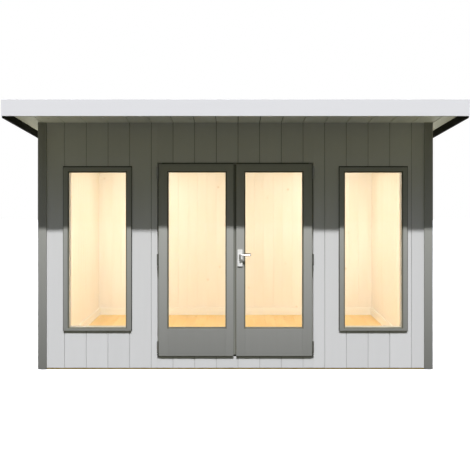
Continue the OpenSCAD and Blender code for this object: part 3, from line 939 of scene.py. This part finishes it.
@dataclass
class Roof:
    """Ceiling and eaves boards, fascias and the lapped covering."""

    roof: RoofPlane
    pitch: float = 0.2
    phase: float = 0.024
    joint_gap: float = 0.007
    groove: float = 0.002
    arris: float = 0.001
    strip_w: float = 1.0
    strip_lap: float = 0.1
    strip_t: float = 0.004
    strip_arris: float = 0.0012

    def build(self) -> None:
        """Dress the fascias, lay the covering and board the ceiling."""
        fascia = add_block("front_fascia_board", *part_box("front_fascia"))
        bevel_edges(fascia, self.arris)
        place(fascia, FASCIA_PAINT, stands_for=["front_fascia"])
        ease_node("rear_fascia", "rear_fascia_board", self.arris, FASCIA_PAINT)
        for node in ("left_fascia", "right_fascia"):
            ease_node(node, node + "_board", self.arris, SIDE_FASCIA_PAINT)
        # The roof panel shows through the soffit's gaps, darkened by painted shade.
        dress_node("roof_panel", SHADED_DECK_TIMBER)
        self.covering()
        self.ceiling()

    def tilt(self, piece: Piece, pivot: Sequence[float], angle: float) -> None:
        """Turn a piece about X.

        Args:
            piece: The piece.
            pivot: The point that stays.
            angle: How far it turns.
        """
        select_only(piece)
        bpy.context.scene.cursor.location = pivot
        bpy.ops.object.origin_set(type="ORIGIN_CURSOR")
        piece.rotation_euler.x = angle
        bpy.ops.object.transform_apply()

    def ceiling(self) -> None:
        """Lay the ceiling boards level, then tilt them under the roof panel."""
        low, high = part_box("ceiling_boards")
        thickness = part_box("roof_panel")[0].z - low.z
        slant = math.hypot(1.0, self.roof.fall)
        front = Vector((0, low.y, self.roof.height(low.y)))
        board_low = Vector((low.x, low.y, front.z))
        board_high = Vector((high.x, low.y + (high.y - low.y) * slant, front.z + thickness))
        boarding = Boarding(Axis.X, Axis.Z, Face.LOW, self.pitch, self.phase, self.joint_gap, self.groove)
        boards = boarding.lay(EAVES_NAME, board_low, board_high)
        self.tilt(boards, front, self.roof.angle)
        place(boards, CEILING_PINE, stands_for=["ceiling_boards"])

    def covering(self) -> None:
        """Lay the covering in strips across the slope, each lapped over the one below."""
        low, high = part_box("roof_covering")
        base = high.z - self.strip_t
        strips = []
        end = (high.y - low.y) * math.hypot(1.0, self.roof.fall)
        while end > 0:
            start = max(0.0, end - self.strip_w)
            near, far = low.y + start, low.y + end
            strip = add_block("strip", (low.x, near, base), (high.x, far, base + self.strip_t))
            bevel_edges(strip, self.strip_arris, 1)
            if strips:
                self.tilt(strip, (0, near, base), math.atan(self.strip_t / (end - start)))
            set_tone(strip, TONES.random())
            strips.append(strip)
            end = start + self.strip_lap if start > 0 else 0.0
        covering = join_pieces("roof_covering_strips", strips)
        self.tilt(covering, (0, low.y, base), self.roof.angle)
        place(covering, MEMBRANE, stands_for=["roof_covering"])


@dataclass
class Window:
    """One fixed window: face frame, reveal boards, glass and gaskets."""

    side: Side
    arris: float = 0.002
    shade_strip_low: tuple = (0.003, 0.0, 0.004)
    shade_strip_high: tuple = (0.003, 0.0, 0.002)
    face_low: tuple = (0.009, 0.0, 0.004)
    face_high: tuple = (0.009, 0.0, 0.013)
    seal_t: float = 0.005

    def build(self) -> None:
        """Model the frame and reveal, and dress the glass and its gaskets."""
        window = f"{self.side.value}_window"
        low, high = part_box(window + "_frame")
        sight, rebate = glazing(window + "_glass")
        hole = window_hole(self.side)
        cladding_y, glass_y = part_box(f"front_wall_{self.side.value}")[0].y, rebate[1].y
        face = (low + Vector(self.face_low), high - Vector(self.face_high))
        # The strip behind the frame's edge is painted shade: near black, it stands for the shadow gap round
        # the frame.
        seal = (low + Vector(self.shade_strip_low), high - Vector(self.shade_strip_high))
        frame = [
            frame_members(window + "_face", face, (low.y, cladding_y), sight, self.arris, rebate),
            frame_members(window + "_body", hole, (cladding_y, glass_y), sight, self.arris / 4, rebate),
        ]
        frame = join_pieces(window + "_joinery", frame)
        place(frame, FRAME_PAINT, stands_for=[window + "_frame"])
        # The reveal boards take the pine darkened by painted shade.
        reveal = frame_members(window + "_reveal", hole, (glass_y, high.y), sight, self.arris / 2)
        place(reveal, SHADED_REVEAL_PINE)
        seal_depth = (cladding_y - self.seal_t, cladding_y)
        place(frame_members(window + "_seal", seal, seal_depth, face, self.arris / 4), SHADOW_GAP_BLACK)
        dress_node(window + "_glass", CLEAR_GLASS)
        dress_node(window + "_beads", GASKET)


def glazing(glass: str) -> tuple[Box, Box]:
    """Return the box that a pane's beads leave in sight, and the box of its rebate."""
    low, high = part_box(glass)
    return (low + BEAD_INSET, high - BEAD_INSET), (low - REBATE_REACH, high)


def frame_members(
    name: str, outer: Box, depth: tuple[float, float], sight: Box, arris: float, rebate: Box | None = None
) -> Piece:
    """Model the stiles and rails round an opening, each with its arrises taken off.

    Args:
        name: The joined members' name.
        outer: The frame's two corners.
        depth: Where the members start and end in depth.
        sight: The opening's two corners.
        arris: How far the arris is taken off.
        rebate: The box cut out for glass and beads.

    Returns:
        The joined members.
    """
    (low, high), (sight_low, sight_high) = outer, sight
    spans = (
        ((low.x, low.z), (sight_low.x, high.z)),
        ((sight_high.x, low.z), (high.x, high.z)),
        ((sight_low.x, low.z), (sight_high.x, sight_low.z)),
        ((sight_low.x, sight_high.z), (sight_high.x, high.z)),
    )
    members = []
    for start, end in spans:
        member = add_block(name, (start[0], depth[0], start[1]), (end[0], depth[1], end[1]))
        bevel_edges(member, arris)
        set_tone(member, TONES.random())
        if rebate:
            cut_out(member, *rebate)
        members.append(member)
    return join_pieces(name, members)


@dataclass
class Door:
    """One glazed leaf with its glass, gaskets and hinge halves."""

    side: Side
    arris: float = 0.0012
    shade_strip_w: float = 0.006
    shade_strip_recess: float = 0.003

    @property
    def body(self) -> str:
        """Return the CAD body that the leaf belongs to."""
        return f"{self.side.value}_door"

    def build(self) -> None:
        """Model the leaf's stiles and rails, and dress what it carries."""
        name = self.side.value
        low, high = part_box(f"{name}_door_leaf")
        sight, rebate = glazing(f"{name}_door_glass")
        face_low, face_high = low.copy(), high - Vector((0, 0, self.shade_strip_w))
        if self.side is Side.LEFT:
            face_low.x += self.shade_strip_w
        else:
            face_high.x -= self.shade_strip_w
        face = (face_low, face_high)
        leaf = frame_members(f"{name}_door_joinery", face, (low.y, high.y), sight, self.arris, rebate)
        place(leaf, DOOR_PAINT, self.body, [f"{name}_door_leaf"])
        self.fit_shade_strips((low, high), face)
        dress_node(f"{name}_door_glass", CLEAR_GLASS)
        dress_node(f"{name}_door_beads", GASKET)
        for node in (f"{name}_leaf_hinges", f"{name}_frame_hinges"):
            dress_node(node, HINGE_STEEL)

    def fit_shade_strips(self, leaf: Box, face: Box) -> None:
        """Fit dark strips of painted shade at the leaf's hung edge and along its top, where the gaps throw
        shadow.

        Args:
            leaf: The whole leaf's two corners.
            face: The two corners of its timber.
        """
        (low, high), (face_low, face_high) = leaf, face
        front = low.y + self.shade_strip_recess
        hung = (low.x, face_low.x) if self.side is Side.LEFT else (face_high.x, high.x)
        # Both strips are painted shade for the shadow lines at the leaf's gaps: the hung edge's in the
        # gasket's grey, the top one near black.
        bead = add_block(f"{self.body}_edge_bead", (hung[0], front, low.z), (hung[1], high.y, high.z))
        top = (face_low.x, front, face_high.z), (face_high.x, high.y, high.z)
        seal = add_block(f"{self.body}_top_seal", *top)
        for strip, finish in ((bead, GASKET), (seal, SHADOW_GAP_BLACK)):
            bevel_edges(strip, self.arris)
            place(strip, finish, self.body)


@dataclass
class Doorway:
    """Jambs, head, threshold, both leaves, the meeting strip and the handle."""

    arris: float = 0.002
    seal_gap: float = 0.0001
    seal_t: float = 0.004
    seal_arris: float = 0.0008

    def build(self) -> None:
        """Model the frame, hang the leaves and fit the handle."""
        for node in ("left_door_jamb", "right_door_jamb"):
            ease_node(node, node + "_board", self.arris, CLADDING_PAINT)
        for node in ("door_head", "door_threshold"):
            ease_node(node, node + "_board", self.arris, FRAME_PAINT)
        for side in Side:
            Door(side).build()
        # The meeting moulding is darkened with painted shade for its recess.
        ease_node("door_meeting_strip", "door_meeting_moulding", self.arris, RECESS_SHADE_PAINT, "left_door")
        self.seal()
        ease_node("handle_plates", "handle_backplates", self.arris / 2, PLATE_CHROME, "right_door")
        dress_node("lever_handle", LEVER_CHROME)

    def seal(self) -> None:
        """Fit the soft seal that closes the gap beside the meeting strip."""
        low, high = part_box("door_meeting_strip")
        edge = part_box("right_door_leaf")[0].x - self.seal_gap
        start, end = low.y + self.seal_t, low.y + 2 * self.seal_t
        seal = add_block("door_meeting_seal", (high.x, start, low.z), (edge, end, high.z))
        bevel_edges(seal, self.seal_arris)
        place(seal, GASKET, "left_door")


@dataclass
class CornerTrims:
    """Painted boards over the ends of the cladding."""

    arris: float = 0.002

    def build(self) -> None:
        """Round the trims' arrises."""
        for node in ("front_corner_trims", "rear_corner_trims"):
            ease_node(node, node + "_boards", self.arris, FRAME_PAINT)


ROOM_GLOW = (1.0, 0.965, 0.91)
WHITE = (1.0, 1.0, 1.0)
UPRIGHT = math.pi / 2
FACE_UP = (math.pi, 0.0, 0.0)
SKY_STOPS = (
    (0.0, (0.073, 0.073, 0.048)),
    (0.49, (0.073, 0.073, 0.048)),
    (0.52, (0.360, 0.365, 0.235)),
    (0.64, (0.205, 0.208, 0.150)),
    (0.84, (0.220, 0.235, 0.290)),
    (0.94, (1.300, 1.360, 1.900)),
)


def add_lamp(name: str, kind: str, energy: float, colour: Sequence[float]) -> Piece:
    """Add a lamp that the camera doesn't see.

    Args:
        name: Its name.
        kind: Blender's kind of light.
        energy: Its strength.
        colour: Its colour.

    Returns:
        The lamp.
    """
    data = bpy.data.lights.new(name, kind)
    data.energy = energy
    data.color = colour
    lamp = bpy.data.objects.new(name, data)
    bpy.context.scene.collection.objects.link(lamp)
    lamp.visible_camera = False
    return lamp


@dataclass(frozen=True)
class Panel:
    """A rectangular lamp that can be mirrored to the left."""

    name: str
    watts: float
    size: tuple
    spot: tuple
    turn: tuple = (0.0, 0.0, 0.0)
    spread: float = math.pi
    colour: tuple = ROOM_GLOW

    def light(self, side: int = 1) -> Piece:
        """Add the lamp.

        Args:
            side: -1 for the left, 1 for the right or the middle.

        Returns:
            The lamp.
        """
        lamp = add_lamp(self.name, "AREA", self.watts, self.colour)
        lamp.data.shape = "RECTANGLE"
        lamp.data.size, lamp.data.size_y = self.size
        lamp.data.spread = self.spread
        lamp.location = (side * self.spot[0], *self.spot[1:])
        lamp.rotation_euler = (*self.turn[:2], side * self.turn[2])
        return lamp


@dataclass
class Studio:
    """Camera, lights, white surroundings and the pale floor."""

    image_px: int = 470
    centre_px: tuple = (235.4, 190.0)
    mm_per_px: float = 9.227
    distance: float = 6.3
    height: float = 1.655
    sensor_mm: float = 36.0
    sun_elevation: float = 60.7
    sun_strength: float = 5.4
    sun_angle: float = 1.3
    gleam: float = 0.8
    side_share: float = 0.8
    side_gap: float = 0.12
    softbox_watts: float = 270.0
    softbox_size: tuple = (4.0, 4.0)
    softbox_reach: float = 7.0
    softbox_height: float = 3.2
    softbox_turns: tuple = (90.0, 180.0, 270.0)
    softbox_aim: tuple = (0.0, 0.0, 1.0)
    floor_size: float = 60.0
    floor_colour: tuple = (0.95, 0.95, 0.95)
    floor_roughness: float = 0.9

    def build(self) -> None:
        """Set up the view and the light."""
        self.camera()
        self.surroundings()
        self.sun()
        self.room_lights()
        for turn in self.softbox_turns:
            self.softbox(math.radians(turn))
        self.floor()

    def camera(self) -> None:
        """Place the camera square to the front, with the photograph's framing."""
        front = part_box("front_wall_left")[0].y
        data = bpy.data.cameras.new("camera")
        focal_px = self.distance * 1000.0 / self.mm_per_px
        data.sensor_width = self.sensor_mm
        data.lens = focal_px / self.image_px * self.sensor_mm
        data.shift_x = (self.image_px / 2 - self.centre_px[0]) / self.image_px
        data.shift_y = (self.centre_px[1] - self.image_px / 2) / self.image_px
        camera = bpy.data.objects.new("camera", data)
        camera.location = (0.0, front - self.distance, self.height)
        camera.rotation_euler = (UPRIGHT, 0.0, 0.0)
        bpy.context.scene.collection.objects.link(camera)
        bpy.context.scene.camera = camera
        bpy.context.scene.view_settings.view_transform = "Standard"

    def surroundings(self) -> None:
        """Make the surroundings white to the eye, dim as a light and bright to polished metal."""
        world = bpy.data.worlds.new("surroundings")
        world.use_nodes = True
        bench = NodeBench(world.node_tree)
        outward = bench.add("ShaderNodeTexCoord").outputs["Generated"]
        rise = bench.add("ShaderNodeSeparateXYZ", {"Vector": outward}).outputs["Z"]
        sky = bench.add("ShaderNodeValToRGB", {"Fac": bench.remap(rise, (-1.0, 1.0))})
        stops = sky.color_ramp.elements
        while len(stops) < len(SKY_STOPS):
            stops.new(1.0)
        for stop, (where, colour) in zip(stops, SKY_STOPS):
            stop.position = where
            stop.color = (*colour, 1.0)
        rays = bench.add("ShaderNodeLightPath").outputs
        colour = sky.outputs["Color"]
        for ray, level in (("Is Glossy Ray", self.gleam), ("Is Camera Ray", 1.0)):
            colour = bench.mix(rays[ray], colour, (level,) * 3)
        bench.feed(world.node_tree.nodes["Background"].inputs["Color"], colour)
        bpy.context.scene.world = world

    def sun(self) -> None:
        """Light the front from high up, so that the eaves throw their shadow."""
        sun = add_lamp("key_light", "SUN", self.sun_strength, WHITE)
        sun.data.angle = math.radians(self.sun_angle)
        sun.rotation_euler = (math.radians(90.0 - self.sun_elevation), 0.0, 0.0)

    def room_lights(self) -> None:
        """Light each half of the room and its far corner."""
        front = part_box("front_lining")[1].y + CUT_REACH
        backward, cornerward = (UPRIGHT, 0.0, 0.0), (UPRIGHT, 0.0, -UPRIGHT / 2)
        panels = (
            Panel("room_light", watts=9.1, size=(0.9, 1.4), spot=(0.92, 0.05, 1.98)),
            Panel("room_panel", watts=10.7, size=(0.7, 1.6), spot=(1.3, front, 0.85), turn=backward),
            Panel("corner_panel", watts=1.4, size=(0.25, 1.7), spot=(1.1, 0.5, 1.15), turn=cornerward),
        )
        for side in (-1, 1):
            for panel in panels:
                panel.light(side)

    def softbox(self, turn: float) -> None:
        """Light a side or the back with a large soft panel.

        Args:
            turn: The panel's direction, counted from the front.
        """
        reach = self.softbox_reach
        spot = Vector((math.sin(turn) * reach, -math.cos(turn) * reach, self.softbox_height))
        aim = (Vector(self.softbox_aim) - spot).to_track_quat("-Z", "Y").to_euler()
        Panel("softbox", self.softbox_watts, self.softbox_size, spot, aim, colour=WHITE).light()

    def eaves_bounce(self) -> None:
        """Light the eaves, and nothing else, from below."""
        low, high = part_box("right_wall")
        run = (high.y - low.y) * self.side_share
        side = Panel(
            "side_bounce", watts=1.45, size=(0.2, run), spot=(high.x + self.side_gap, -0.75, 0.6),
            turn=FACE_UP, spread=math.radians(60.0), colour=(1.0, 0.97, 0.70),
        )
        front = Panel(
            "front_bounce", watts=1.6, size=(2 * high.x, 0.4), spot=(0.0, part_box("front_fascia")[0].y, 0.5),
            turn=FACE_UP, colour=(0.87, 1.0, 1.0),
        )
        lit = bpy.data.collections.new("side_eaves")
        lit.objects.link(bpy.data.objects[EAVES_NAME])
        for lamp in (side.light(-1), side.light(), front.light()):
            lamp.light_linking.receiver_collection = lit

    def floor(self) -> None:
        """Lay the pale floor that the pod stands on."""
        bpy.ops.mesh.primitive_plane_add(size=self.floor_size)
        floor = bpy.context.object
        floor.name = "studio_floor"
        material = bpy.data.materials.new("studio_floor")
        material.use_nodes = True
        bench = NodeBench(material.node_tree)
        bench.shade("Base Color", self.floor_colour)
        bench.shade("Roughness", self.floor_roughness)
        floor.data.materials.append(material)
        floor.visible_diffuse = False
        floor.visible_glossy = False


def main() -> None:
    """Build the pod's looks in order."""
    logging.basicConfig(level=logging.INFO, format="%(name)s: %(message)s")
    NODES.update(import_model()["nodes"])
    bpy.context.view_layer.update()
    roof = RoofPlane.from_frame()
    studio = Studio()
    studio.build()
    Walls(roof).build()
    Room(roof).build()
    CornerTrims().build()
    for side in Side:
        Window(side).build()
    Doorway().build()
    Roof(roof).build()
    studio.eaves_bounce()


if __name__ == "__main__":
    main()
